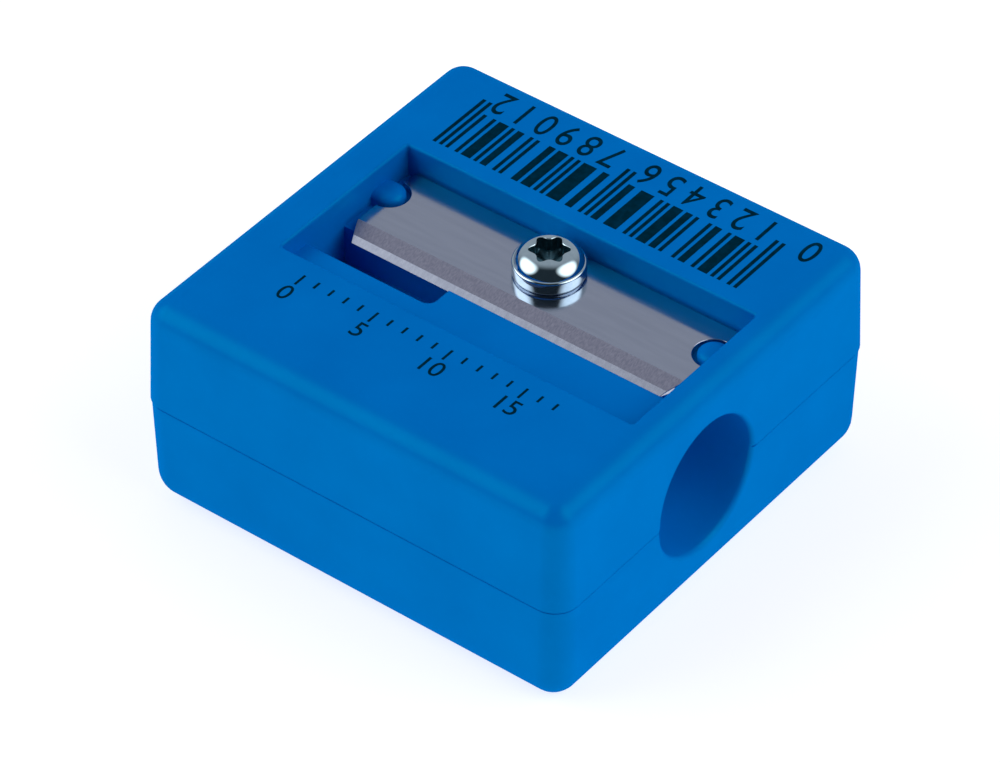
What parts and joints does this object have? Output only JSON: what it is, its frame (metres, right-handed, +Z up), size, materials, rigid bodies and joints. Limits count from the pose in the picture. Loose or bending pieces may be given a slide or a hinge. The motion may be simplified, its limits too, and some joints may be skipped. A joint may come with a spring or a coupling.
{
  "type": "block pencil sharpener",
  "caption": "Hand-held block pencil sharpener: moulded body with one pencil hole, a flat steel blade in a top pocket and a pan-head screw that clamps it.",
  "frame": {"origin": "middle of the base, on the surface that the sharpener stands on", "axes": "+X out of the pencil hole's mouth, +Y towards the blade's back edge, +Z up"},
  "size_m": [0.0286, 0.0282, 0.0137],
  "materials": {
    "body_plastic": "satin moulded blue",
    "blade_steel": "polished flat, ground and honed edge",
    "screw_plating": "bright zinc plating"
  },
  "bodies": {
    "housing": {"body": "body_plastic"},
    "blade": {"blade": "blade_steel"},
    "screw": {"blade_screw": "screw_plating"}
  },
  "joints": [
    {"name": "blade_lift", "type": "slide", "parent": "housing", "child": "blade", "axis": [0, 0, 1], "range_m": [0, 0.0064]},
    {"name": "screw_turn", "type": "hinge", "parent": "blade", "child": "screw", "pos_m": [0.0005, 0.00305, 0.0121], "axis": [0, 0, 1], "range_deg": [0, 2880]}
  ],
  "couplings": [
    {"joint": "screw_turn", "follows": "blade_lift", "rad_per_m": 7854}
  ]
}
